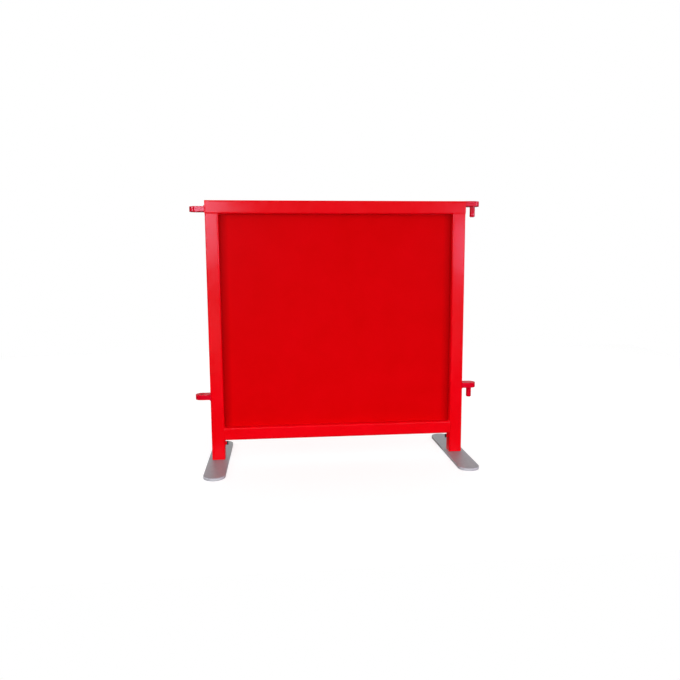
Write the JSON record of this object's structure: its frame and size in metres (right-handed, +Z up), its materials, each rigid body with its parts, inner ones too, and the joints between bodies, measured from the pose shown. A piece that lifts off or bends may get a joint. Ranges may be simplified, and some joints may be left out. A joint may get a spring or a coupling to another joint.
{
  "type": "interlocking barrier panel",
  "caption": "Free-standing painted steel barrier panel with a recessed sheet, coupling eyes on one side, coupling pins on the other, and flat-bar feet that swivel for stacking.",
  "frame": {"origin": "on the floor, under the middle of the frame, in the mid-plane of the tubes", "axes": "+X along the panel towards the pin side, -Y towards the front, +Z up"},
  "size_m": [1.116, 0.48, 1.01],
  "materials": {
    "frame_paint": "gloss red paint over steel",
    "panel_paint": "gloss red paint over sheet steel",
    "foot_steel": "dull grey galvanised flat bar",
    "bearing_steel": "bare turned steel, greased",
    "bolt_steel": "blackened bolt"
  },
  "bodies": {
    "frame": {"top_rail": "frame_paint", "left_rail_end": "frame_paint", "right_rail_end": "frame_paint", "left_post": "frame_paint", "right_post": "frame_paint", "bottom_rail": "frame_paint", "infill_panel": "panel_paint", "panel_angle_top": "frame_paint", "panel_angle_bottom": "frame_paint", "panel_angle_left": "frame_paint", "panel_angle_right": "frame_paint", "upper_eye": "frame_paint", "lower_eye": "frame_paint", "upper_lug": "frame_paint", "lower_lug": "frame_paint", "upper_pin": "frame_paint", "lower_pin": "frame_paint", "left_lower_guide": "bearing_steel", "right_lower_guide": "bearing_steel", "left_upper_guide": "bearing_steel", "right_upper_guide": "bearing_steel", "left_lock_nut": "frame_paint", "right_lock_nut": "frame_paint", "left_lock_bolt": "bolt_steel", "right_lock_bolt": "bolt_steel"},
    "left_foot": {"left_foot_plate": "foot_steel", "left_foot_spigot": "bearing_steel"},
    "right_foot": {"right_foot_plate": "foot_steel", "right_foot_spigot": "bearing_steel"}
  },
  "joints": [
    {"name": "left_foot_swivel", "type": "hinge", "parent": "frame", "child": "left_foot", "pos_m": [-0.475, 0, 0], "axis": [0, 0, 1], "range_deg": [0, 90]},
    {"name": "right_foot_swivel", "type": "hinge", "parent": "frame", "child": "right_foot", "pos_m": [0.475, 0, 0], "axis": [0, 0, -1], "range_deg": [0, 90]}
  ]
}
